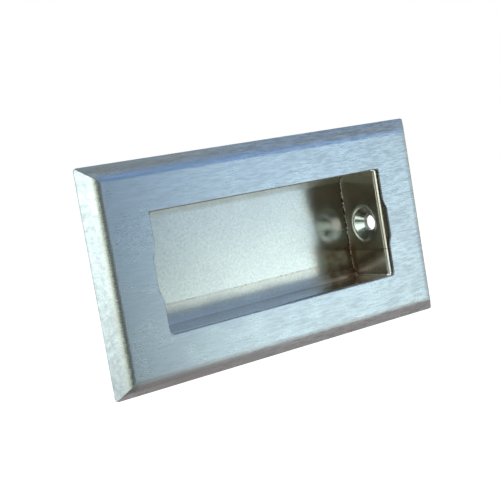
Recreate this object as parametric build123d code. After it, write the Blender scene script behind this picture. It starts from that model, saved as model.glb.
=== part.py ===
# Flush pull for a sliding or pocket door, in millimetres.
# A pressed face plate frames a finger cup, which is a bent channel closed by two bent end brackets.
# Frame: X along the plate, +Y into the door, +Z up. The origin is the centre of the plate's rear plane.
from build123d import *
import os
from math import atan2, pi, tan

# Opening of the cup in the face plate
opening_length = 88.9
opening_height = 36.5
opening_corner = 1.2
opening_edge_break = 0.35

# Screwdriver relief in the middle of each short side of the opening
notch_depth = 1.15
notch_height = 15.4
notch_flare = 3.2
notch_bend = 3.0

# Face plate: a shallow pan with a flat bevel all round
end_margin = 19.05
long_margin = 15.88
plate_sheet = 1.27
face_height = 5.25
rim_edge = 0.25
bevel_width = 4.4
bevel_inside_bend = 0.7
bevel_to_rim_bend = 0.3
plate_corner = 1.1

# Finger cup, bent from thinner sheet
cup_sheet = 1.0
cup_depth = 21.3
cup_back_bend = 1.2
lip_bend = 2.0
lip_edge_gap = 1.6
lip_corner = 1.5
seam_gap = 0.3
corner_relief = 0.6

# Dimpled screw hole in each end wall
screw_hole_radius = 2.6
screw_hole_margin = 0.35
dimple_mouth_radius = 6.1
dimple_depth = 2.6
dimple_mouth_bend = 2.0
dimple_floor_bend = 0.6
dimple_flat = 0.1
dimple_to_lip = 1.11

# Places worked out from the sizes above
plate_length = opening_length + 2 * end_margin
plate_height = opening_height + 2 * long_margin
half_opening_length = opening_length / 2
half_opening_height = opening_height / 2
front_face = -face_height
lip_seat = front_face + plate_sheet
cup_back = front_face + cup_depth
bevel_outside_bend = bevel_inside_bend + plate_sheet
dimple_floor_radius = screw_hole_radius + screw_hole_margin
lip_reach_long = long_margin - bevel_width - plate_sheet - lip_edge_gap
lip_reach_end = end_margin - bevel_width - plate_sheet - lip_edge_gap

# Section planes of the bent sheets: the first number runs along the span, the second into the door
length_and_depth = Plane(origin=(0, 0, 0), x_dir=(1, 0, 0), z_dir=(0, 0, 1))
height_and_depth = Plane(origin=(0, 0, 0), x_dir=(0, 0, 1), z_dir=(-1, 0, 0))

# Plane on the door's surface that faces into the door
into_door = Plane(origin=(0, 0, 0), x_dir=(1, 0, 0), z_dir=(0, 1, 0))


def pan_block(behind, inset):
    """Solid pan, or its hollow at one sheet inside: a block with a mitred bevel and a bend all round its front."""
    slope = atan2(face_height - rim_edge, bevel_width)
    width = bevel_width - inset + inset * tan(slope / 2)
    height = face_height - rim_edge - inset + inset * tan((pi / 2 - slope) / 2)
    outline = into_door * Rectangle(plate_length - 2 * inset, plate_height - 2 * inset)
    block = extrude(Pos(0, front_face + inset, 0) * outline, amount=face_height - inset + behind)
    front = block.faces().sort_by(Axis.Y)[0]
    block = chamfer(front.edges(), length=width, length2=height, reference=front)
    front = block.faces().sort_by(Axis.Y)[0]
    return fillet(front.edges(), bevel_outside_bend - inset)


def opening_outline():
    """Rounded opening with a flared relief in the middle of each short side."""
    mouth = notch_height / 2
    floor = mouth - notch_flare
    with BuildSketch() as outline:
        RectangleRounded(opening_length, opening_height, opening_corner)
        for side in (-1, 1):
            edge = side * half_opening_length
            bottom = edge + side * notch_depth
            with BuildLine():
                Polyline((0, -mouth), (edge, -mouth), (bottom, -floor), (bottom, floor), (edge, mouth), (0, mouth),
                         close=True)
            make_face()
        bends = outline.vertices().filter_by(lambda vertex: abs(vertex.Y) < mouth + opening_corner)
        fillet(bends, notch_bend)
    return outline.sketch


def make_face_plate():
    rounded = extrude(into_door * RectangleRounded(plate_length, plate_height, plate_corner), amount=-face_height)
    pan = pan_block(0, 0) & rounded
    rim = pan.edges().filter_by(lambda edge: -rim_edge - plate_corner / 2 < edge.center().Y <= -rim_edge * 0.99)
    pan = fillet(rim, bevel_to_rim_bend) - pan_block(2 * plate_sheet, plate_sheet)
    pan -= extrude(into_door * opening_outline(), amount=-face_height)
    front = pan.faces().sort_by(Axis.Y)[0]
    return fillet(front.inner_wires()[0].edges(), opening_edge_break)


def bent_sheet(cup_side, bends):
    """Section of a bent sheet whose cup side follows the given corners and bends."""
    path = FilletPolyline(*cup_side, radius=bends)
    return make_face(path.offset_2d(cup_sheet, kind=Kind.INTERSECTION, side=Side.LEFT))


def make_cup_channel():
    """Top, back and bottom of the cup, with a lip behind each long side of the opening."""
    tip = half_opening_height + lip_reach_long
    cup_side = [(-tip, lip_seat), (-half_opening_height, lip_seat), (-half_opening_height, cup_back),
                (half_opening_height, cup_back), (half_opening_height, lip_seat), (tip, lip_seat)]
    section = bent_sheet(cup_side, [lip_bend, cup_back_bend, cup_back_bend, lip_bend])
    channel = extrude(height_and_depth * section, amount=half_opening_length + cup_sheet, both=True)
    across_lips = channel.edges().filter_by(Axis.Y).group_by(Axis.Z)
    return fillet(across_lips[0] + across_lips[-1], lip_corner)


def add_dimple(bracket):
    """Replaces a disc of flat wall by a dimple pressed outwards, with the screw hole in its floor."""
    slope = atan2(dimple_depth, dimple_mouth_radius - dimple_floor_radius)
    disc_radius = dimple_mouth_radius + dimple_mouth_bend * tan(slope / 2) + dimple_flat
    disc_depth = lip_seat + lip_bend + dimple_to_lip + disc_radius
    disc = Pos(half_opening_length + cup_sheet / 2, disc_depth, 0) * Cylinder(
        disc_radius, cup_sheet, rotation=(0, 90, 0))
    cup_side = [(0, disc_radius), (0, dimple_mouth_radius), (dimple_depth, dimple_floor_radius),
                (dimple_depth, screw_hole_radius)]
    section = bent_sheet(cup_side, [dimple_mouth_bend, dimple_floor_bend])
    pressed = Pos(half_opening_length, disc_depth, 0) * revolve(section, axis=Axis.X)
    return bracket - disc + pressed


def make_right_bracket():
    """End wall with its dimpled screw hole, and a lip behind the short side of the opening."""
    tip = half_opening_length + lip_reach_end
    cup_side = [(half_opening_length, cup_back - seam_gap), (half_opening_length, lip_seat), (tip, lip_seat)]
    bracket = extrude(length_and_depth * bent_sheet(cup_side, [lip_bend]),
                      amount=half_opening_height - seam_gap, both=True)
    wall_corners = bracket.edges().filter_by(Axis.X).group_by(Axis.Y)[-1]
    bracket = fillet(wall_corners, cup_back_bend + corner_relief)
    lip_corners = bracket.edges().filter_by(Axis.Y).group_by(Axis.X)[-1]
    bracket = fillet(lip_corners, lip_corner)
    return add_dimple(bracket)


def main():
    right_bracket = make_right_bracket()
    pieces = {
        "face_plate": make_face_plate(),
        "cup_channel": make_cup_channel(),
        "end_bracket_right": right_bracket,
        "end_bracket_left": mirror(right_bracket, about=Plane.YZ),
    }
    os.makedirs("parts", exist_ok=True)
    for name, piece in pieces.items():
        export_step(piece, f"parts/{name}.step")


main()
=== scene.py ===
"""Flush pull for a sliding door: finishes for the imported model, beads for its seams, and a plain studio."""
import random
from math import cos, radians, sin

import bpy
from bpy.props import FloatProperty, FloatVectorProperty, IntProperty, PointerProperty
from bpy.types import Operator, Panel, PropertyGroup
from mathutils import Euler, Matrix, Vector


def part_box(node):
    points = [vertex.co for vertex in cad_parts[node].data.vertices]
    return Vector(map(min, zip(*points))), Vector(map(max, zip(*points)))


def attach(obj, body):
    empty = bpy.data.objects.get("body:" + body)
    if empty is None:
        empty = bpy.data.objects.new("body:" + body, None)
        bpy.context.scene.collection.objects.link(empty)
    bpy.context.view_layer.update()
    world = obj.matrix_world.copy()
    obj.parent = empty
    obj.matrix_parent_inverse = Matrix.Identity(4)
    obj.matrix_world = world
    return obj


bl_info = {
    "name": "Flush Pull",
    "version": (1, 0, 0),
    "blender": (4, 5, 0),
    "location": "3D View > Sidebar > Flush Pull",
    "description": "Dresses a flush pull for a sliding door and sets it in a plain studio",
    "category": "Object",
}

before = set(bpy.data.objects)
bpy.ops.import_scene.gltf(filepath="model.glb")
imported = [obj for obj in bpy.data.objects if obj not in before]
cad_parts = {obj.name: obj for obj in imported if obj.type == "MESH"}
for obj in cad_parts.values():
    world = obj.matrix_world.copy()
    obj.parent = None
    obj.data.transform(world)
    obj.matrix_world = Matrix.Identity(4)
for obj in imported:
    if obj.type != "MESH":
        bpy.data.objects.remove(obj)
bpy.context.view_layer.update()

PLATE_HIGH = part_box("face_plate")[1]
CUP_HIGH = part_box("cup_channel")[1]
BRACKET_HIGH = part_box("end_bracket_right")[1]

# Sizes of the part, in metres
BEVEL_WIDTH = 0.0044
CUP_SHEET = 0.001
CUP_BACK = CUP_HIGH[1] - CUP_SHEET
HALF_CUP_LENGTH = CUP_HIGH[0] - CUP_SHEET
SEAM_GAP = 0.0003
HALF_CUP_HEIGHT = BRACKET_HIGH[2] + SEAM_GAP
NOTCH_DEPTH = 0.00115
NOTCH_FLOOR = 0.0045
NOTCH_MOUTH = 0.0077
BACK_BEND = 0.0016

# Where the masks begin and end. A pair is a soft edge, from its start to its end. Those in metres come first.
# Face plate: distances beyond the inner edge of the bevels, which is frayed at the ends
TURN_START = -0.0005
BEVEL_START = (-0.0008, 0.0008)
BEND_START = (-0.0020, -0.0010)
BEND_END = (0.0004, 0.0012)
FRINGE_START = (-0.0008, 0.0)
FRINGE_END = (0.0004, 0.0016)
CREAM_END = (0.0002, 0.0026)
# Face plate: distance from the opening's edge for the painted shade line round it, height over its foot, and place
# along the plate
SHADE_LINE_END = (0.00015, 0.00045)
FOOT_END = (-HALF_CUP_HEIGHT, -HALF_CUP_HEIGHT + 0.003)
LINES_GROW = (-0.06, 0.05)
# Cup: depth of its back, distance beyond its long sides, and the depth over which the painted highlight on those sides
# fades
BACK_START = (CUP_BACK - 0.004, CUP_BACK - 0.002)
FLAT_BACK_START = (CUP_BACK - 0.0005, CUP_BACK - 0.0001)
SIDE_START = (-0.0004, -0.0001)
SIDE_HIGHLIGHT_DEPTH = (0.001, 0.014)
# Cup: heights of the water line, the film under it and the rust, and where the rust lies along the back
WATER_LINE = -0.0122
WATER_LINE_EDGE = (0.0001, 0.0005)
FILM_TOP = (-0.0128, WATER_LINE)
FILM_FOOT = (-0.0165, -0.0155)
RUST_TOP = (-0.009, -0.004)
RUST_ALONG = (0.028, 0.035)
# Cup: the end walls, with their welding tint, partly painted shade, and the same tint on the back, partly painted
# reflection of the end walls
WALL_START = (HALF_CUP_LENGTH - 0.0012, HALF_CUP_LENGTH - 0.0002)
WALL_FRONT = -0.002
FLATNESS = 0.00005
CREASE_FADE = (-0.003, 0.0)
CREASE_SHADE_EDGE = (0.0001, 0.0003)
DIMPLE_EDGE = (0.0056, 0.0064)
TINT_ROUND_DIMPLE = (0.0055, 0.0070)
BACK_TINT_ALONG = (0.024, 0.031)
BACK_TINT_HEIGHT = (0.003, 0.006)
# Cup: the bends between the back and the long sides
ROUGH_CORNER_END = (0.0014, 0.0036)
BEND_SIDE_END = (0.0005, 0.0009)
BEND_BACK_END = (BACK_BEND, 0.0030)
BEND_REAR = 0.0002
BEND_ALONG_END = (HALF_CUP_LENGTH - 0.006, HALF_CUP_LENGTH - 0.001)
# Seam beads: how far they lie beyond the cup's length, and the height from which those of the long sides are worn
BEAD_OFFSET = 0.0001
SIDE_BEAD_START = (HALF_CUP_HEIGHT - 0.0012, HALF_CUP_HEIGHT - 0.0004)

# Levels of a pattern, from 0 to 1
NOISE_LEVELS = (0.3, 0.7)
TONE_LEVELS = (0.38, 0.62)
LINE_LEVELS = (0.35, 0.65)
HAIR_LEVELS = (0.4, 0.62)
WORN_LEVELS = (0.80, 1.0)

# Hairs of the frayed edge, in metres
HAIR_LENGTH = 0.0012
HAIR_WIDTH = 0.00028

CLOUD_PATCH = 0.012
QUARTER_TURN = 0.25
CORNER_STEPS = 4


# Node trees

def add_node(tree, kind, inputs=None, **settings):
    """Adds a node. An input is a value to set or an output to link."""
    node = tree.nodes.new(kind)
    for name, value in settings.items():
        setattr(node, name, value)
    for name, value in (inputs or {}).items():
        if isinstance(value, bpy.types.NodeSocket):
            tree.links.new(value, node.inputs[name])
        else:
            node.inputs[name].default_value = value
    return node


def tree_of(*values):
    """Node tree of the outputs among the values."""
    return next(value.id_data for value in values if isinstance(value, bpy.types.NodeSocket))


def maths(operation, first, second=0.0):
    inputs = {0: first, 1: second}
    return add_node(tree_of(first, second), "ShaderNodeMath", inputs, operation=operation).outputs[0]


def total(first, *others):
    for other in others:
        first = maths("ADD", first, other)
    return first


def product(first, *others):
    for other in others:
        first = maths("MULTIPLY", first, other)
    return first


def difference(first, second):
    return maths("SUBTRACT", first, second)


def larger(first, second):
    return maths("MAXIMUM", first, second)


def absolute(value):
    return maths("ABSOLUTE", value)


def distance(across, up):
    """Length of the line that goes so far across and so far up."""
    return maths("SQRT", total(product(across, across), product(up, up)))


def ramp(value, low, high, to_low=0.0, to_high=1.0, soft=True):
    """Maps a value from low..high to to_low..to_high, with eased ends if soft."""
    node = add_node(value.id_data, "ShaderNodeMapRange",
                    {"Value": value, "From Min": low, "From Max": high, "To Min": to_low, "To Max": to_high},
                    interpolation_type="SMOOTHSTEP" if soft else "LINEAR")
    return node.outputs["Result"]


def fade(value, low, high):
    """Ramp that is whole below low and gone above high."""
    return ramp(value, low, high, 1.0, 0.0)


def blend_colours(share, first, second, blend_type="MIX"):
    tree = tree_of(share, first, second)
    node = add_node(tree, "ShaderNodeMix", data_type="RGBA", blend_type=blend_type)
    for socket, value in (("Factor_Float", share), ("A_Color", first), ("B_Color", second)):
        entry = next(i for i in node.inputs if i.identifier == socket)
        if isinstance(value, bpy.types.NodeSocket):
            tree.links.new(value, entry)
        else:
            entry.default_value = value if socket == "Factor_Float" else (*value[:3], 1)
    return next(o for o in node.outputs if o.identifier == "Result_Color")


def vector_maths(operation, first, second=(0, 0, 0)):
    inputs = {0: first, 1: second}
    return add_node(tree_of(first, second), "ShaderNodeVectorMath", inputs, operation=operation).outputs[0]


def place_on_object(tree):
    """Object coordinates, in metres."""
    return add_node(tree, "ShaderNodeTexCoord").outputs["Object"]


def split(vector):
    return add_node(vector.id_data, "ShaderNodeSeparateXYZ", {0: vector}).outputs


def noise(tree, scale, detail, vector=None, roughness=0.5):
    """Noise on the object, or on the given vector."""
    vector = vector or place_on_object(tree)
    inputs = {"Vector": vector, "Scale": scale, "Detail": detail, "Roughness": roughness}
    return add_node(tree, "ShaderNodeTexNoise", inputs).outputs[0]


def new_group(name, inputs, outputs):
    """Shader node group with number inputs and outputs. Returns the tree, its input sockets and its output node."""
    tree = bpy.data.node_groups.new(name, "ShaderNodeTree")
    for label, default in inputs.items():
        socket = tree.interface.new_socket(label, in_out="INPUT", socket_type="NodeSocketFloat")
        socket.default_value = default
    for label in outputs:
        tree.interface.new_socket(label, in_out="OUTPUT", socket_type="NodeSocketFloat")
    start = tree.nodes.new("NodeGroupInput")
    end = tree.nodes.new("NodeGroupOutput")
    return tree, start.outputs, end


def use_group(tree, name, **values):
    """Places a group in a material. Keyword names stand for the group's inputs, with _ for a space."""
    node = add_node(tree, "ShaderNodeGroup", node_tree=bpy.data.node_groups[name])
    for label, value in values.items():
        node.inputs[label.replace("_", " ").title()].default_value = value
    return node.outputs


def make_brush_lines_group():
    """Fine lines along the length of the part, with a slow wander across."""
    tree, given, end = new_group(
        "Brush Lines", {"Line Length": 0.008, "Line Width": 0.0003, "Wander": 0.0002}, ("Height", "Tone"))
    x, y, z = split(place_on_object(tree))
    along = total(x, product(y, 0.8))
    sway = difference(noise(tree, 260.0, 1.0), 0.5)
    across = total(z, product(sway, given["Wander"]))
    for label, coarser, longer, seed in (("Height", 1.0, 1.0, 3.1), ("Tone", 2.6, 1.7, 11.7)):
        length = product(given["Line Length"], longer)
        width = product(given["Line Width"], coarser)
        spot = add_node(tree, "ShaderNodeCombineXYZ",
                        {0: maths("DIVIDE", along, length), 1: seed, 2: maths("DIVIDE", across, width)})
        tree.links.new(noise(tree, 1.0, 3.0, spot.outputs[0], 0.62), end.inputs[label])


def make_specks_group():
    """Small pits, one in some of the cells of a scattered grid."""
    tree, given, end = new_group("Specks", {"Spacing": 0.004, "Size": 0.0002, "Share": 0.3}, ("Mask",))
    scale = maths("DIVIDE", 1.0, given["Spacing"])
    cells = add_node(tree, "ShaderNodeTexVoronoi", {"Vector": place_on_object(tree), "Scale": scale})
    reach = maths("DIVIDE", given["Size"], given["Spacing"])
    dot = fade(cells.outputs["Distance"], 0.0, reach)
    chosen = maths("LESS_THAN", split(cells.outputs["Color"])[0], given["Share"])
    tree.links.new(product(dot, chosen), end.inputs["Mask"])


def make_grain_group():
    """Fine grain of an etched or blasted surface."""
    tree, given, end = new_group("Grain", {"Grain Size": 0.0003}, ("Height", "Tone"))
    scale = maths("DIVIDE", 1.0, given["Grain Size"])
    for label, finer in (("Height", 1.0), ("Tone", 0.6)):
        grain = noise(tree, product(scale, finer), 2.0, roughness=0.6)
        tree.links.new(ramp(grain, *NOISE_LEVELS, soft=False), end.inputs[label])


def make_clouds_group():
    """Slow unevenness of a satin finish."""
    tree, given, end = new_group("Clouds", {"Patch": 0.02}, ("Tone",))
    clouds = noise(tree, maths("DIVIDE", 1.0, given["Patch"]), 2.0)
    tree.links.new(ramp(clouds, *NOISE_LEVELS), end.inputs["Tone"])


GROUPS = {"Brush Lines": make_brush_lines_group, "Specks": make_specks_group, "Clouds": make_clouds_group,
          "Grain": make_grain_group}


# Materials

def new_metal(name, colour, roughness):
    """Material with a metal shader. Returns the material, its tree and its shader node."""
    material = bpy.data.materials.new(name)
    material.use_nodes = True
    material.diffuse_color = (*colour, 1)
    tree = material.node_tree
    shader = tree.nodes["Principled BSDF"]
    shader.inputs["Base Color"].default_value = (*colour, 1)
    shader.inputs["Metallic"].default_value = 1.0
    shader.inputs["Roughness"].default_value = roughness
    return material, tree, shader


def scaled(colour, share):
    return tuple(c * share for c in colour[:3])


def uneven_roughness(tree, mean):
    clouds = use_group(tree, "Clouds", patch=CLOUD_PATCH)
    return ramp(clouds["Tone"], 0.0, 1.0, mean - 0.02, mean + 0.03)


def raise_surface(tree, shader, height):
    """Bumps the surface by a height in metres."""
    bump = add_node(tree, "ShaderNodeBump", {"Height": height, "Distance": 1.0})
    tree.links.new(bump.outputs[0], shader.inputs["Normal"])
    return bump.outputs[0]


def hair_noise(tree, x, y, z):
    """Short hairs along the length of the part."""
    spot = add_node(tree, "ShaderNodeCombineXYZ", {0: maths("DIVIDE", x, HAIR_LENGTH), 1: y,
                                                   2: maths("DIVIDE", z, HAIR_WIDTH)})
    return noise(tree, 1.0, 2.0, spot.outputs[0])


def opening_shade_line(x, z, foot_shade):
    """Mask of the painted shade line round the opening: a dark line of painted shadow that follows its reliefs and is
    fainter along its foot.
    """
    notch = ramp(absolute(z), NOTCH_FLOOR, NOTCH_MOUTH, NOTCH_DEPTH, 0.0)
    beyond_end = difference(difference(absolute(x), HALF_CUP_LENGTH), notch)
    beyond_long = difference(absolute(z), HALF_CUP_HEIGHT)
    line = fade(larger(beyond_end, beyond_long), *SHADE_LINE_END)
    return product(line, ramp(z, *FOOT_END, foot_shade, 1.0), 0.75)


def bevel_crown(off_end, off_long, finish):
    """Height over a flat bevel, in metres: a slight crown, and a soft turn towards the face."""
    off_face = larger(off_end, off_long)
    share = ramp(off_face, 0.0, BEVEL_WIDTH, soft=False)
    crown = product(share, difference(1.0, share), 4 * finish.crown_rise)
    near = ramp(off_face, TURN_START, finish.turn_width, 1.0, 0.0, soft=False)
    turn = difference(product(near, near), 1.0)
    return difference(crown, product(turn, finish.turn_slope * finish.turn_width / 2))


def make_brushed_material(finish):
    """Satin chrome brushed along the length, with end bevels that are mottled and frayed at their inner edge, and a
    painted shade line round the opening.
    """
    material, tree, shader = new_metal("brushed_satin_chrome_finish", finish.metal_colour, finish.roughness)
    shader.inputs["Anisotropic"].default_value = finish.stretch
    shader.inputs["Anisotropic Rotation"].default_value = QUARTER_TURN
    x, y, z = split(place_on_object(tree))
    fine = use_group(tree, "Brush Lines", line_length=finish.line_length, line_width=finish.line_width,
                     wander=finish.wander)
    broad = use_group(tree, "Brush Lines", line_length=finish.line_length * 2, line_width=finish.line_width * 2.2,
                      wander=finish.wander * 2)
    specks = use_group(tree, "Specks", spacing=0.007, size=0.00035, share=0.22)
    grain = use_group(tree, "Grain", grain_size=0.00035)
    mottle = use_group(tree, "Grain", grain_size=0.0009)

    # Masks of the end bevels, their bends and the fringe beside them
    off_end = difference(absolute(x), PLATE_HIGH[0] - BEVEL_WIDTH)
    off_long = difference(absolute(z), PLATE_HIGH[2] - BEVEL_WIDTH)
    hairs = hair_noise(tree, x, y, z)
    frayed = total(off_end, product(difference(hairs, 0.5), finish.fray))
    beyond_mitre = maths("GREATER_THAN", off_end, off_long)
    on_end = product(ramp(frayed, *BEVEL_START), beyond_mitre)
    on_bend = product(ramp(frayed, *BEND_START), fade(frayed, *BEND_END))
    fringe = product(ramp(frayed, *FRINGE_START), fade(frayed, *FRINGE_END), beyond_mitre, ramp(hairs, *HAIR_LEVELS))
    brushed = product(ramp(x, *LINES_GROW, 0.3, 1.7, soft=False), difference(1.0, on_end))

    # Colour: brush lines, mottle on the end bevels, specks, the painted shade line round the opening, and the end
    # bevels' inner edges
    tone = total(product(fine["Tone"], 0.6), product(broad["Tone"], 0.4))
    tone = difference(ramp(tone, *TONE_LEVELS, soft=False), 0.5)
    tone = total(product(tone, brushed), 0.5)
    spots = total(product(mottle["Tone"], 0.9), product(grain["Tone"], 0.5))
    tone = total(tone, product(difference(spots, 0.7), on_end))
    dull = scaled(finish.metal_colour, 0.81)
    colour = blend_colours(tone, dull, scaled(finish.metal_colour, 1.16))
    colour = blend_colours(product(specks["Mask"], 0.3), colour, scaled(dull, 0.4))
    # Painted shadow: a dark line round the opening's edge, fainter along its foot
    colour = blend_colours(opening_shade_line(x, z, finish.foot_shade), colour, finish.edge_shade_colour)
    cream = product(fade(frayed, *CREAM_END), 0.6, on_end)
    colour = blend_colours(cream, colour, finish.cream_colour)
    colour = blend_colours(product(fringe, 0.7), colour, finish.fringe_colour)
    tree.links.new(colour, shader.inputs["Base Color"])

    lines = ramp(fine["Tone"], *LINE_LEVELS, -0.03, 0.03)
    rough = total(uneven_roughness(tree, finish.roughness), lines, product(on_bend, finish.bend_roughness))
    tree.links.new(rough, shader.inputs["Roughness"])

    lines_height = product(total(fine["Height"], broad["Height"]), finish.line_depth, brushed)
    grain_depth = ramp(product(on_bend, beyond_mitre), 0.0, 1.0, finish.grain_depth, finish.fray_depth)
    grain_height = product(difference(grain["Height"], 0.5), grain_depth)
    raise_surface(tree, shader, total(lines_height, grain_height, bevel_crown(off_end, off_long, finish)))
    return material


def stain_masks(tree, x, z, on_back, grain):
    """Masks of all the stains on the cup's back, which are a water line, its film and rust, and of the rust alone."""
    grains = use_group(tree, "Specks", spacing=0.0008, size=0.00038, share=0.75)
    clouds = use_group(tree, "Clouds", patch=0.004)
    line = fade(absolute(difference(z, WATER_LINE)), *WATER_LINE_EDGE)
    line = product(line, ramp(grains["Mask"], 0.0, 0.8, 0.3, 1.0))
    film = product(fade(z, *FILM_TOP), ramp(z, *FILM_FOOT), 0.25)
    rust = product(ramp(x, *RUST_ALONG), fade(z, *RUST_TOP), on_back, ramp(clouds["Tone"], 0.0, 1.0, 0.6, 1.0))
    speckled = ramp(grain["Tone"], 0.0, 1.0, 0.7, 1.0, soft=False)
    stains = larger(product(total(line, film), on_back), product(rust, speckled))
    return stains, rust


def weld_and_shade_masks(x, y, z, on_back, finish):
    """Masks of the welding tint, which is partly painted shade on the end walls and their lips and partly painted
    reflection on the back, of the dimples, and of the painted shade line along the end walls' lower crease.
    """
    at_wall = ramp(absolute(x), *WALL_START)
    over_crease = total(z, finish.wall_crease)
    from_hole = distance(difference(y, finish.hole_depth), z)
    # Welding tint over the end walls and their lips, partly painted shade, weaker below the crease
    tint = product(at_wall, ramp(over_crease, *CREASE_FADE, finish.low_heat_and_shade, 1.0),
                   ramp(from_hole, *TINT_ROUND_DIMPLE))
    # The same tint on the back near the right seam, partly painted reflection of the end walls
    back_tint = product(ramp(x, *BACK_TINT_ALONG), on_back, ramp(absolute(z), *BACK_TINT_HEIGHT), 0.7)
    in_dimple = product(at_wall, fade(from_hole, *DIMPLE_EDGE))
    # Painted shade: a dark line along the crease where the end walls turn outwards
    line = product(fade(absolute(over_crease), *CREASE_SHADE_EDGE), 0.6, at_wall)
    return larger(tint, back_tint), in_dimple, line


def cup_relief(tree, x, y, z, pits, grain, finish):
    """Height of the cup's surface, in metres: ripple and pits, the back's curl, and the end walls' outward turn."""
    ripple = total(noise(tree, 900.0, 2.0), product(grain["Height"], 0.6))
    ripple = difference(ripple, product(pits["Mask"], 1.5))
    beyond = larger(difference(absolute(x), finish.roll_start), 0.0)
    roll = product(maths("POWER", beyond, 3.0), ramp(y, *FLAT_BACK_START), finish.roll_curve)
    on_wall = product(maths("GREATER_THAN", absolute(x), HALF_CUP_LENGTH - FLATNESS),
                      maths("GREATER_THAN", y, WALL_FRONT))
    beyond_crease = larger(difference(absolute(z), finish.wall_crease), 0.0)
    wall = product(beyond_crease, finish.wall_slope, on_wall)
    return total(product(ripple, finish.ripple_depth), difference(roll, wall))


def tilt_bends(tree, x, z, to_side, to_back, raised, finish):
    """Normal of the raised surface, with one mean tilt over each back bend, away from the seams."""
    on_bend = product(fade(absolute(to_side), *BEND_SIDE_END), fade(absolute(to_back), *BEND_BACK_END),
                      fade(absolute(x), *BEND_ALONG_END), maths("LESS_THAN", to_back, BEND_REAR))
    inwards = product(maths("SIGN", z), -sin(finish.bend_tilt))
    tilted = add_node(tree, "ShaderNodeCombineXYZ", {1: -cos(finish.bend_tilt), 2: inwards}).outputs[0]
    turned = vector_maths("MULTIPLY", vector_maths("SUBTRACT", tilted, raised), on_bend)
    return vector_maths("NORMALIZE", vector_maths("ADD", raised, turned))


def make_plain_material(finish):
    """Plain satin chrome of the cup, with pits, a water line, rust, a welding tint that is partly painted shade, a
    painted highlight along its long sides and a painted shade line along the end walls' crease.
    """
    material, tree, shader = new_metal("plain_satin_chrome_finish", finish.metal_colour, finish.roughness)
    x, y, z = split(place_on_object(tree))
    pits = use_group(tree, "Specks", spacing=finish.pit_spacing, size=finish.pit_size, share=0.35)
    grain = use_group(tree, "Grain", grain_size=0.0005)
    to_side = difference(absolute(z), HALF_CUP_HEIGHT)
    to_back = difference(y, CUP_BACK)
    on_back = product(ramp(y, *BACK_START), maths("LESS_THAN", y, CUP_BACK + CUP_SHEET / 2))
    stains, rust = stain_masks(tree, x, z, on_back, grain)
    tint, in_dimple, crease_shade_line = weld_and_shade_masks(x, y, z, on_back, finish)

    colour = blend_colours(grain["Tone"], scaled(finish.metal_colour, 0.92), scaled(finish.metal_colour, 1.08))
    colour = blend_colours(product(pits["Mask"], 0.5), colour, scaled(finish.metal_colour, 0.35))
    colour = blend_colours(stains, colour, finish.stain_and_shade_colour)
    # Painted highlight: the long sides by the opening are brightened towards near white, fading with depth
    highlight_fade = ramp(y, *SIDE_HIGHLIGHT_DEPTH, finish.front_highlight, 0.2 * finish.front_highlight, soft=False)
    colour = blend_colours(product(ramp(to_side, *SIDE_START), highlight_fade), colour, finish.side_highlight_colour)
    colour = blend_colours(in_dimple, colour, finish.dimple_colour)
    # Welding tint, partly painted shade on the end walls and their lips
    colour = blend_colours(tint, colour, blend_colours(1.0, colour, finish.heat_and_shade_colour, "MULTIPLY"))
    # Painted shade line along the end walls' crease
    colour = blend_colours(crease_shade_line, colour, finish.stain_and_shade_colour)
    tree.links.new(colour, shader.inputs["Base Color"])

    from_corner = distance(to_back, to_side)
    rough = total(uneven_roughness(tree, finish.roughness), product(pits["Mask"], 0.2), product(rust, 0.04),
                  product(fade(from_corner, *ROUGH_CORNER_END), finish.bend_roughness))
    tree.links.new(rough, shader.inputs["Roughness"])

    raised = raise_surface(tree, shader, cup_relief(tree, x, y, z, pits, grain, finish))
    normal = tilt_bends(tree, x, z, to_side, to_back, raised, finish)
    tree.links.new(normal, shader.inputs["Normal"])
    return material


def make_seam_material(seam):
    """Dark scale with bright worn ridges. The beads along the long sides are worn all over."""
    material, tree, shader = new_metal("seam_scale_finish", seam.scale_colour, 0.5)
    z = split(place_on_object(tree))[2]
    lumps = use_group(tree, "Grain", grain_size=0.0009)
    fine = use_group(tree, "Grain", grain_size=0.0003)
    worn = ramp(total(lumps["Tone"], product(fine["Tone"], 0.4)), *WORN_LEVELS)
    along_side = ramp(absolute(z), *SIDE_BEAD_START)
    worn = larger(worn, product(along_side, seam.side_wear))
    tree.links.new(blend_colours(worn, seam.scale_colour, seam.worn_colour), shader.inputs["Base Color"])
    tree.links.new(ramp(worn, 0.0, 1.0, 0.6, 0.35, soft=False), shader.inputs["Roughness"])
    raise_surface(tree, shader, product(fine["Height"], seam.scale_depth))
    return material


# Seam beads

def clear_selection():
    if bpy.context.object and bpy.context.object.mode != "OBJECT":
        bpy.ops.object.mode_set(mode="OBJECT")
    bpy.ops.object.select_all(action="DESELECT")


def draw_bead(start, end, thickness, steps, chance):
    """Draws a lumpy bead from start to end by extruding a small square. Leaves it active."""
    start, end = Vector(start), Vector(end)
    run = (end - start) / steps
    clear_selection()
    bpy.ops.mesh.primitive_plane_add(size=thickness, location=start,
                                     rotation=run.to_track_quat("Z", "Y").to_euler())
    bpy.ops.object.mode_set(mode="EDIT")
    bpy.ops.mesh.select_all(action="SELECT")
    centre, size = start.copy(), 1.0
    for step in range(steps):
        sway = Vector([chance.uniform(-0.12, 0.12) * thickness for _ in range(3)])
        goal = start + run * (step + 1) + sway
        bpy.ops.mesh.extrude_region_move(TRANSFORM_OT_translate={"value": goal - centre})
        centre = goal
        wanted = chance.uniform(0.6, 1.15)
        bpy.ops.transform.resize(value=(wanted / size,) * 3, center_override=centre)
        size = wanted
    bpy.ops.mesh.select_all(action="DESELECT")
    bpy.ops.mesh.select_non_manifold()
    bpy.ops.mesh.edge_face_add()
    bpy.ops.mesh.select_all(action="SELECT")
    bpy.ops.mesh.normals_make_consistent(inside=False)
    bpy.ops.object.mode_set(mode="OBJECT")
    return bpy.context.object


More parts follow.
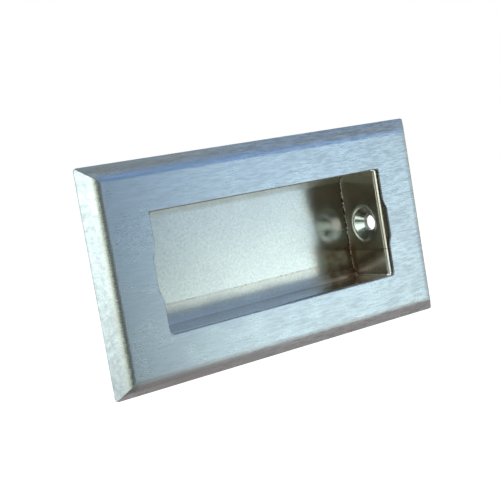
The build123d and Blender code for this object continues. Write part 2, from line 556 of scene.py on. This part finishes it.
def make_seam_bead(seam):
    """Bead of the right seams: along the back, the bottom and the top of the end wall."""
    chance = random.Random(seam.seed)
    wall = HALF_CUP_LENGTH + BEAD_OFFSET
    back = CUP_BACK - SEAM_GAP / 2
    edge = HALF_CUP_HEIGHT - SEAM_GAP / 2
    corner = BACK_BEND
    runs = [((wall, back, corner - edge), (wall, back, edge - corner), seam.back_thickness, seam.steps)]
    for side in (-1, 1):
        runs.append(((wall, seam.front_end, side * edge), (wall, back - corner, side * edge), seam.side_thickness,
                     seam.steps // 2))
        runs.append(((wall, back - corner, side * edge), (wall, back, side * (edge - corner)), seam.back_thickness,
                     CORNER_STEPS))
    beads = [draw_bead(*run, chance) for run in runs]
    clear_selection()
    for bead in beads:
        bead.select_set(True)
    bpy.context.view_layer.objects.active = beads[0]
    bpy.ops.object.join()
    bead = bpy.context.object
    bevel = bead.modifiers.new("round", "BEVEL")
    bevel.width = seam.side_thickness * 0.2
    bevel.segments = 2
    bpy.ops.object.modifier_apply(modifier=bevel.name)
    bpy.ops.object.transform_apply(location=True, rotation=True, scale=True)
    bpy.ops.object.shade_smooth_by_angle(angle=radians(50))
    return bead


def mirror_bead(right):
    """Copy of the right bead, with its own mesh, at the left end."""
    clear_selection()
    right.select_set(True)
    bpy.context.view_layer.objects.active = right
    bpy.ops.object.duplicate()
    left = bpy.context.object
    left.scale.x = -1
    bpy.ops.object.transform_apply(location=True, rotation=True, scale=True)
    bpy.ops.object.mode_set(mode="EDIT")
    bpy.ops.mesh.select_all(action="SELECT")
    bpy.ops.mesh.normals_make_consistent(inside=False)
    bpy.ops.object.mode_set(mode="OBJECT")
    return left


# Stage

def new_glow(name):
    """Emission material. Returns the material, its tree and its emission node."""
    material = bpy.data.materials.new(name)
    material.use_nodes = True
    tree = material.node_tree
    tree.nodes.clear()
    glow = add_node(tree, "ShaderNodeEmission")
    output = add_node(tree, "ShaderNodeOutputMaterial")
    tree.links.new(glow.outputs[0], output.inputs["Surface"])
    return material, tree, glow


def plain_glow(name, colour):
    material, _, glow = new_glow(name)
    glow.inputs["Color"].default_value = (*colour, 1)
    return material


def grade(value, stops):
    """Colours a value in metres by stops, each a place and a colour."""
    low, high = stops[0][0], stops[-1][0]
    ramp_node = add_node(value.id_data, "ShaderNodeValToRGB", {"Fac": ramp(value, low, high, soft=False)})
    elements = ramp_node.color_ramp.elements
    while len(elements) < len(stops):
        elements.new(0.5)
    for element, (place, colour) in zip(elements, stops):
        element.position = (place - low) / (high - low)
        element.color = (*colour, 1)
    return ramp_node.outputs["Color"]


def upright_glow(name, stops):
    """Glow that changes with the height."""
    material, tree, glow = new_glow(name)
    tree.links.new(grade(split(place_on_object(tree))[2], stops), glow.inputs["Color"])
    return material


def front_screen_glow(stage):
    """Pale below the horizon and blue above. It is darker towards the camera's side and at the far right."""
    material, tree, glow = new_glow("front_screen_glow")
    x, _, z = split(place_on_object(tree))
    table, window, horizon = stage.table_colour, stage.window_colour, stage.horizon
    middle = tuple((low + high) / 2 for low, high in zip(table, window))
    bright = grade(z, (
        (-0.35, scaled(table, 3.0)), (-0.15, scaled(table, 2.6)), (-0.12, scaled(table, 1.9)),
        (-0.095, scaled(table, 1.1)), (horizon - 0.095, table), (horizon - 0.02, middle), (horizon + 0.05, window),
        (0.45, scaled(window, 0.95))))
    far = blend_colours(ramp(z, -0.06, 0.02), stage.low_front_colour, stage.front_colour)
    dark = blend_colours(ramp(x, 0.02, 0.11), stage.near_colour, far)
    # The pale part reaches further towards the camera at the foot of the screen, and less far over the table
    reach = total(x, ramp(z, -0.132, -0.10, 0.12, 0.0), ramp(z, -0.03, 0.02, -0.02, 0.0))
    to_right = ramp(reach, stage.screen_edge - 0.09, stage.screen_edge + 0.09, soft=False)
    colour = blend_colours(to_right, dark, bright)
    colour = blend_colours(ramp(x, 0.36, 0.72), colour, scaled(table, 0.45))
    tree.links.new(colour, glow.inputs["Color"])
    return material


def overhead_glow(stage):
    """Blue towards the room and grey over the part. It is darker towards the camera's side."""
    material, tree, glow = new_glow("overhead_glow")
    x, y, _ = split(place_on_object(tree))
    over = grade(y, (
        (-0.3, scaled(stage.window_colour, 1.1)), (-0.05, stage.window_colour), (0.04, stage.overhead_colour),
        (0.25, scaled(stage.overhead_colour, 0.85))))
    colour = blend_colours(ramp(x, -0.06, 0.1), stage.lap_colour, over)
    tree.links.new(colour, glow.inputs["Color"])
    return material


def under_glow(stage):
    """Pale towards the room and brown under the part. It is darker towards the camera's side."""
    material, tree, glow = new_glow("under_glow")
    x, y, _ = split(place_on_object(tree))
    brown, dark_brown = stage.under_colour, scaled(stage.under_colour, 0.35)
    under = grade(y, (
        (-0.4, (0.85, 0.92, 0.90)), (-0.15, (0.76, 0.80, 0.76)), (-0.06, (0.58, 0.58, 0.56)),
        (0.0, (0.40, 0.36, 0.37)), (0.035, brown), (0.07, scaled(brown, 0.6)), (0.12, dark_brown),
        (0.5, dark_brown)))
    slant = total(x, product(y, 0.6))
    colour = blend_colours(ramp(slant, -0.1, 0.0), stage.lap_colour, under)
    tree.links.new(colour, glow.inputs["Color"])
    return material


def add_card(name, width, height, centre, rotation, glow):
    """Flat card that only reflections show, with its place in its mesh."""
    clear_selection()
    bpy.ops.mesh.primitive_plane_add(size=1, location=centre, rotation=rotation)
    card = bpy.context.object
    card.name = card.data.name = name
    card.scale = (width, height, 1)
    bpy.ops.object.transform_apply(location=True, rotation=True, scale=True)
    card.visible_camera = False
    card.visible_diffuse = False
    card.visible_shadow = False
    card.data.materials.append(glow)


def add_cards(stage):
    """Adds the cards that the metal mirrors."""
    upright = radians(90)
    soft_box, card, shelf = stage.soft_box_colour, stage.camera_card_colour, stage.shelf_colour
    soft_box_glow = upright_glow("soft_box_glow", (
        (-0.35, scaled(soft_box, 0.3)), (-0.12, scaled(soft_box, 0.80)), (0.08, scaled(soft_box, 1.45))))
    camera_card_glow = upright_glow("camera_card_glow", (
        (-0.125, shelf), (-0.072, shelf), (-0.060, card), (0.02, card), (0.07, scaled(card, 2.2))))
    add_card("front_screen", 1.1, 0.8, (0.43, -0.45, 0.05), (upright, 0, 0), front_screen_glow(stage))
    add_card("soft_box", 0.30, 0.9, (-0.531, -0.186, 0.05), (upright, 0, radians(-72)), soft_box_glow)
    add_card("side_card", 0.65, 1.1, (-0.62, 0.12, 0.2), (upright, 0, upright),
             plain_glow("side_glow", stage.side_colour))
    add_card("overhead_card", 1.1, 0.75, (0.35, -0.08, 0.42), (0, 0, 0), overhead_glow(stage))
    add_card("under_card", 0.64, 1.1, (0.30, 0.05, -0.135), (0, 0, 0), under_glow(stage))
    add_card("lap_card", 0.55, 0.55, (-0.295, -0.225, -0.135), (0, 0, 0), plain_glow("lap_glow", stage.lap_colour))
    add_card("camera_card", 0.36, 0.34, (-0.140, -0.297, 0.045), (upright, 0, radians(-20)), camera_card_glow)
    add_card("right_card", 0.7, 0.8, (0.6, -0.05, 0.05), (upright, 0, upright),
             plain_glow("right_glow", stage.right_colour))


def seen_directly(tree):
    """Mask of what the camera sees, also by reflection in metal or through glass."""
    paths = add_node(tree, "ShaderNodeLightPath").outputs
    return total(paths["Is Camera Ray"], paths["Is Glossy Ray"], paths["Is Transmission Ray"])


def make_world(stage):
    """White world: at full strength for the camera and for reflections, and softer as light."""
    world = bpy.data.worlds.new("studio_world")
    bpy.context.scene.world = world
    world.use_nodes = True
    tree = world.node_tree
    tree.nodes.clear()
    strength = ramp(seen_directly(tree), 0.0, 1.0, stage.world_strength, 1.0, soft=False)
    background = add_node(tree, "ShaderNodeBackground", {"Color": (1, 1, 1, 1), "Strength": strength})
    output = add_node(tree, "ShaderNodeOutputWorld")
    tree.links.new(background.outputs[0], output.inputs["Surface"])


def make_floor_material(stage):
    """Pale paper that reaches white for the camera and keeps the shadow."""
    material = bpy.data.materials.new("floor_paper")
    material.use_nodes = True
    tree = material.node_tree
    shader = tree.nodes["Principled BSDF"]
    shader.inputs["Base Color"].default_value = (0.9, 0.9, 0.9, 1)
    shader.inputs["Roughness"].default_value = 0.9
    shader.inputs["Specular IOR Level"].default_value = 0.0
    shader.inputs["Emission Color"].default_value = (1, 1, 1, 1)
    lift = ramp(seen_directly(tree), 0.0, 1.0, 0.0, stage.floor_lift, soft=False)
    tree.links.new(lift, shader.inputs["Emission Strength"])
    return material


def add_floor(stage):
    clear_selection()
    bpy.ops.mesh.primitive_plane_add(size=6, location=(0, 0, -stage.floor_drop))
    floor = bpy.context.object
    floor.name = floor.data.name = "floor"
    bpy.ops.object.transform_apply(location=True, rotation=True, scale=True)
    floor.data.materials.append(make_floor_material(stage))


def add_area_lamp(name, place, size, power):
    """Square lamp that shines at the part and isn't mirrored in it."""
    data = bpy.data.lights.new(name, "AREA")
    data.shape = "SQUARE"
    data.size = size
    data.energy = power
    lamp = bpy.data.objects.new(name, data)
    bpy.context.scene.collection.objects.link(lamp)
    lamp.location = place
    lamp.rotation_euler = (-Vector(place)).to_track_quat("-Z", "Y").to_euler()
    lamp.visible_glossy = False


def add_camera(stage):
    data = bpy.data.cameras.new("camera")
    camera = bpy.data.objects.new("camera", data)
    bpy.context.scene.collection.objects.link(camera)
    data.sensor_width = 36
    data.lens = stage.lens
    data.clip_start = 0.005
    data.clip_end = 20
    aim = Euler((radians(90) - stage.camera_tilt, 0, stage.camera_heading)).to_matrix()
    aim = aim @ Matrix.Rotation(stage.camera_roll, 3, "Z")
    camera.matrix_world = Matrix.Translation(stage.camera_place) @ aim.to_4x4()
    bpy.context.scene.camera = camera


# Settings

class FacePlateFinish(PropertyGroup):
    metal_colour: FloatVectorProperty(
        name="Metal Colour", description="Colour of the brushed satin chrome", subtype="COLOR", size=3, min=0, max=1,
        default=(0.66, 0.745, 0.775))
    roughness: FloatProperty(
        name="Roughness", description="Mean roughness of the face", min=0, max=1, default=0.30, subtype="FACTOR")
    stretch: FloatProperty(
        name="Stretch", description="How much the brushing spreads reflections across the lines", min=0, max=1,
        default=0.8, subtype="FACTOR")
    line_length: FloatProperty(
        name="Line Length", description="Usual length of a brush line", default=0.0018, min=0, unit="LENGTH",
        precision=4)
    line_width: FloatProperty(
        name="Line Width", description="Usual width of a brush line", default=0.00015, min=0, unit="LENGTH",
        precision=5)
    line_depth: FloatProperty(
        name="Line Depth", description="Depth of the brush lines", default=0.000012, min=0, unit="LENGTH",
        precision=6)
    wander: FloatProperty(
        name="Wander", description="How far a brush line strays sideways", default=0.0004, min=0, unit="LENGTH",
        precision=5)
    grain_depth: FloatProperty(
        name="Grain Depth", description="Depth of the fine grain", default=0.000003, min=0, unit="LENGTH",
        precision=6)
    crown_rise: FloatProperty(
        name="Crown Rise", description="Rise of the bevels' crown over a flat bevel", default=0.00005, min=0,
        unit="LENGTH", precision=5)
    turn_width: FloatProperty(
        name="Turn Width", description="Width of the bevels' soft turn towards the face", default=0.0022, min=0,
        unit="LENGTH", precision=4)
    turn_slope: FloatProperty(name="Turn Slope", description="Slope of the soft turn at the face", default=0.15, min=0)
    bend_roughness: FloatProperty(
        name="Bend Roughness", description="Roughness that the end bends have on top", min=0, max=1, default=0.15,
        subtype="FACTOR")
    fray: FloatProperty(
        name="Fray", description="How far the inner edge of the end bevels is frayed", default=0.002, min=0,
        unit="LENGTH", precision=4)
    fray_depth: FloatProperty(
        name="Fray Depth", description="Depth of the grain along that edge", default=0.00006, min=0, unit="LENGTH",
        precision=6)
    fringe_colour: FloatVectorProperty(
        name="Fringe Colour", description="Colour along the end bevels' inner edge", subtype="COLOR", size=3, min=0,
        max=1, default=(0.26, 0.28, 0.19))
    cream_colour: FloatVectorProperty(
        name="Cream Colour", description="Tint of the end bevels beside that edge", subtype="COLOR", size=3, min=0,
        max=1, default=(0.70, 0.74, 0.62))
    # Painted shadow: colour of the dark line round the opening
    edge_shade_colour: FloatVectorProperty(
        name="Edge Colour", description="Colour of the dark line round the opening", subtype="COLOR", size=3, min=0,
        max=1, default=(0.12, 0.10, 0.08))
    foot_shade: FloatProperty(
        name="Foot Line", description="Strength of that line along the foot of the opening", min=0, max=1,
        default=0.25, subtype="FACTOR")


class CupFinish(PropertyGroup):
    metal_colour: FloatVectorProperty(
        name="Metal Colour", description="Colour of the plain satin chrome", subtype="COLOR", size=3, min=0, max=1,
        default=(0.66, 0.69, 0.66))
    # Colour of the real stains, and also of the painted shade line along the end walls' crease
    stain_and_shade_colour: FloatVectorProperty(
        name="Stain Colour", description="Colour of the water line and the rust", subtype="COLOR", size=3, min=0,
        max=1, default=(0.28, 0.18, 0.10))
    # Welding tint, which is partly painted shade on the end walls and their lips
    heat_and_shade_colour: FloatVectorProperty(
        name="Heat Colour", description="Tint that welding left by the seams", subtype="COLOR", size=3, min=0, max=1,
        default=(0.95, 0.87, 0.76))
    low_heat_and_shade: FloatProperty(
        name="Low Heat", description="How much of that tint the foot of the end walls has", default=0.25, min=0,
        max=1, subtype="FACTOR")
    # Painted highlight on the cup's long sides by the opening
    side_highlight_colour: FloatVectorProperty(
        name="Wear Colour", description="Colour of the cup's long sides by the opening", subtype="COLOR", size=3,
        min=0, max=1, default=(1.0, 1.0, 0.95))
    front_highlight: FloatProperty(
        name="Front Wear", description="How far that colour shows by the opening", min=0, max=1, default=0.9,
        subtype="FACTOR")
    dimple_colour: FloatVectorProperty(
        name="Dimple Colour", description="Colour of the pressed dimples", subtype="COLOR", size=3, min=0, max=1,
        default=(0.54, 0.60, 0.55))
    hole_depth: FloatProperty(
        name="Hole Depth", description="How deep the centre of the screw holes lies", default=0.00605, unit="LENGTH",
        precision=5)
    roughness: FloatProperty(
        name="Roughness", description="Mean roughness of the cup", min=0, max=1, default=0.18, subtype="FACTOR")
    pit_spacing: FloatProperty(
        name="Pit Spacing", description="Distance between the cells that may hold a pit", default=0.0042, min=0,
        unit="LENGTH", precision=4)
    pit_size: FloatProperty(
        name="Pit Size", description="Radius of a pit", default=0.00028, min=0, unit="LENGTH", precision=5)
    ripple_depth: FloatProperty(
        name="Ripple Depth", description="Depth of the surface ripple", default=0.000006, min=0, unit="LENGTH",
        precision=6)
    bend_roughness: FloatProperty(
        name="Bend Roughness", description="Roughness that the back bends have on top", min=0, max=1, default=0.25,
        subtype="FACTOR")
    bend_tilt: FloatProperty(
        name="Bend Tilt", description="Mean tilt of the back bends", subtype="ANGLE", default=radians(25))
    roll_start: FloatProperty(
        name="Roll Start", description="Where the back starts to curl towards the seams", default=0.037, min=0,
        unit="LENGTH", precision=4)
    roll_curve: FloatProperty(
        name="Roll Curve", description="How strongly the back curls towards the seams", default=500.0)
    wall_crease: FloatProperty(
        name="Wall Crease", description="Height where the end walls turn outwards a little", default=0.0091, min=0,
        unit="LENGTH", precision=4)
    wall_slope: FloatProperty(name="Wall Slope", description="Slope of the end walls beyond the crease", default=0.1)


class SeamFinish(PropertyGroup):
    scale_colour: FloatVectorProperty(
        name="Scale Colour", description="Colour of the dark scale", subtype="COLOR", size=3, min=0, max=1,
        default=(0.035, 0.03, 0.025))
    scale_depth: FloatProperty(
        name="Scale Depth", description="Depth of the scale's grain", default=0.00004, min=0, unit="LENGTH",
        precision=6)
    worn_colour: FloatVectorProperty(
        name="Worn Colour", description="Colour of the worn ridges", subtype="COLOR", size=3, min=0, max=1,
        default=(0.62, 0.62, 0.56))
    side_wear: FloatProperty(
        name="Side Wear", description="How worn the beads along the long sides are", default=0.8, min=0, max=1,
        subtype="FACTOR")
    back_thickness: FloatProperty(
        name="Back Thickness", description="Thickness of the bead along the back", default=0.00048, min=0,
        unit="LENGTH", precision=5)
    side_thickness: FloatProperty(
        name="Side Thickness", description="Thickness of the beads along the long sides", default=0.00034, min=0,
        unit="LENGTH", precision=5)
    front_end: FloatProperty(
        name="Front End", description="How deep the beads of the long sides begin", default=-0.0012, unit="LENGTH",
        precision=4)
    steps: IntProperty(name="Steps", description="How many lumps the bead along the back has", default=80, min=8)
    seed: IntProperty(name="Seed", description="Seed of the lumps", default=7)


class StudioStage(PropertyGroup):
    camera_place: FloatVectorProperty(
        name="Camera Place", description="Where the camera stands", subtype="TRANSLATION", unit="LENGTH", size=3,
        default=(-0.184599, -0.264951, 0.026645))
    camera_heading: FloatProperty(
        name="Camera Heading", description="Turn of the camera about the upright", subtype="ANGLE",
        default=radians(-33.584))
    camera_tilt: FloatProperty(
        name="Camera Tilt", description="How far the camera looks down", subtype="ANGLE", default=radians(4.699))
    camera_roll: FloatProperty(
        name="Camera Roll", description="Roll of the camera about its own line of sight", subtype="ANGLE",
        default=radians(-9.665))
    lens: FloatProperty(
        name="Lens", description="Focal length on a 36 mm sensor, in millimetres", default=72.899, min=1)
    floor_drop: FloatProperty(
        name="Floor Drop", description="How far the floor lies under the centre of the part", default=0.14, min=0,
        unit="LENGTH")
    floor_lift: FloatProperty(
        name="Floor Lift", description="Glow that brings the lit floor up to white", default=0.4, min=0)
    world_strength: FloatProperty(name="World Light", description="Strength of the world as light", default=0.7, min=0)
    horizon: FloatProperty(
        name="Horizon", description="Height where the pale part of the front screen ends", default=0.03,
        unit="LENGTH")
    screen_edge: FloatProperty(
        name="Screen Edge", description="Where the dark part of the front screen ends", default=0.20, unit="LENGTH")
    table_colour: FloatVectorProperty(
        name="Table Colour", description="Pale part of the front screen", subtype="COLOR", size=3, min=0,
        default=(1.19, 1.38, 1.39))
    window_colour: FloatVectorProperty(
        name="Window Colour", description="Blue part of the front screen", subtype="COLOR", size=3, min=0,
        default=(0.28, 0.42, 0.70))
    front_colour: FloatVectorProperty(
        name="Front Colour", description="Dark part of the front screen", subtype="COLOR", size=3, min=0,
        default=(0.11, 0.175, 0.29))
    low_front_colour: FloatVectorProperty(
        name="Low Front Colour", description="Foot of the front screen's dark part", subtype="COLOR", size=3, min=0,
        default=(0.09, 0.13, 0.14))
    near_colour: FloatVectorProperty(
        name="Near Colour", description="Front screen beside the camera", subtype="COLOR", size=3, min=0,
        default=(0.42, 0.44, 0.42))
    soft_box_colour: FloatVectorProperty(
        name="Soft Box Colour", description="Soft box at the left", subtype="COLOR", size=3, min=0,
        default=(1.42, 1.50, 1.45))
    overhead_colour: FloatVectorProperty(
        name="Overhead Colour", description="Card over the part", subtype="COLOR", size=3, min=0,
        default=(0.30, 0.31, 0.30))
    under_colour: FloatVectorProperty(
        name="Under Colour", description="Card under the part", subtype="COLOR", size=3, min=0,
        default=(0.36, 0.29, 0.27))
    side_colour: FloatVectorProperty(
        name="Side Colour", description="Card at the far left", subtype="COLOR", size=3, min=0,
        default=(0.30, 0.30, 0.28))
    lap_colour: FloatVectorProperty(
        name="Lap Colour", description="Dark card under the camera", subtype="COLOR", size=3, min=0,
        default=(0.09, 0.09, 0.08))
    right_colour: FloatVectorProperty(
        name="Right Colour", description="Card at the right", subtype="COLOR", size=3, min=0,
        default=(0.72, 0.76, 0.77))
    camera_card_colour: FloatVectorProperty(
        name="Camera Card Colour", description="Dark card round the camera", subtype="COLOR", size=3, min=0,
        default=(0.045, 0.041, 0.029))
    shelf_colour: FloatVectorProperty(
        name="Shelf Colour", description="Foot of the card round the camera", subtype="COLOR", size=3, min=0,
        default=(0.38, 0.47, 0.43))


class FlushPullSettings(PropertyGroup):
    face_plate: PointerProperty(type=FacePlateFinish)
    cup: PointerProperty(type=CupFinish)
    seam: PointerProperty(type=SeamFinish)
    stage: PointerProperty(type=StudioStage)


# Operators

def need_groups():
    for name, make_group in GROUPS.items():
        if name not in bpy.data.node_groups:
            make_group()


def give_material(node_names, material):
    for name in node_names:
        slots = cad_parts[name].material_slots
        if not slots:
            raise RuntimeError(f"{name} has no material slot")
        for slot in slots:
            slot.material = material


class FLUSHPULL_OT_face_plate(Operator):
    """Gives the face plate its brushed finish"""
    bl_idname = "flushpull.face_plate"
    bl_label = "Finish Face Plate"
    bl_options = {"REGISTER", "UNDO"}

    def execute(self, context):
        need_groups()
        give_material(["face_plate"], make_brushed_material(context.scene.flush_pull.face_plate))
        return {"FINISHED"}


class FLUSHPULL_OT_cup(Operator):
    """Gives the cup channel and its end brackets their plain satin finish"""
    bl_idname = "flushpull.cup"
    bl_label = "Finish Cup"
    bl_options = {"REGISTER", "UNDO"}

    def execute(self, context):
        need_groups()
        give_material(["cup_channel", "end_bracket_left", "end_bracket_right"],
                      make_plain_material(context.scene.flush_pull.cup))
        return {"FINISHED"}


class FLUSHPULL_OT_seam_beads(Operator):
    """Models the beads of the seams between the cup channel and its end walls"""
    bl_idname = "flushpull.seam_beads"
    bl_label = "Add Seam Beads"
    bl_options = {"REGISTER", "UNDO"}

    def execute(self, context):
        need_groups()
        seam = context.scene.flush_pull.seam
        material = make_seam_material(seam)
        right = make_seam_bead(seam)
        left = mirror_bead(right)
        for name, bead in (("seam_bead_right", right), ("seam_bead_left", left)):
            bead.name = bead.data.name = name
            bead.data.materials.append(material)
            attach(bead, "root")
        return {"FINISHED"}


class FLUSHPULL_OT_stage(Operator):
    """Sets up the world, the floor, the cards, the lamps and the camera"""
    bl_idname = "flushpull.stage"
    bl_label = "Set Up Studio"
    bl_options = {"REGISTER", "UNDO"}

    def execute(self, context):
        stage = context.scene.flush_pull.stage
        context.scene.view_settings.view_transform = "Standard"
        make_world(stage)
        add_floor(stage)
        add_cards(stage)
        add_area_lamp("key_lamp", (-0.9, -0.9, 1.2), size=1.0, power=14)
        add_area_lamp("fill_lamp", (1.1, -0.7, 0.8), size=1.2, power=6)
        add_camera(stage)
        return {"FINISHED"}


class FLUSHPULL_PT_sidebar(Panel):
    bl_idname = "FLUSHPULL_PT_sidebar"
    bl_label = "Flush Pull"
    bl_space_type = "VIEW_3D"
    bl_region_type = "UI"
    bl_category = "Flush Pull"

    def draw(self, context):
        settings = context.scene.flush_pull
        for operator, group in ((FLUSHPULL_OT_face_plate, settings.face_plate), (FLUSHPULL_OT_cup, settings.cup),
                                (FLUSHPULL_OT_seam_beads, settings.seam), (FLUSHPULL_OT_stage, settings.stage)):
            box = self.layout.box()
            box.operator(operator.bl_idname)
            for name in group.__annotations__:
                box.prop(group, name)


CLASSES = (FacePlateFinish, CupFinish, SeamFinish, StudioStage, FlushPullSettings, FLUSHPULL_OT_face_plate,
           FLUSHPULL_OT_cup, FLUSHPULL_OT_seam_beads, FLUSHPULL_OT_stage, FLUSHPULL_PT_sidebar)


def register():
    for cls in CLASSES:
        bpy.utils.register_class(cls)
    bpy.types.Scene.flush_pull = PointerProperty(type=FlushPullSettings)


def unregister():
    del bpy.types.Scene.flush_pull
    for cls in reversed(CLASSES):
        bpy.utils.unregister_class(cls)


def main():
    register()
    bpy.ops.flushpull.face_plate()
    bpy.ops.flushpull.cup()
    bpy.ops.flushpull.seam_beads()
    bpy.ops.flushpull.stage()


if __name__ == "__main__":
    main()
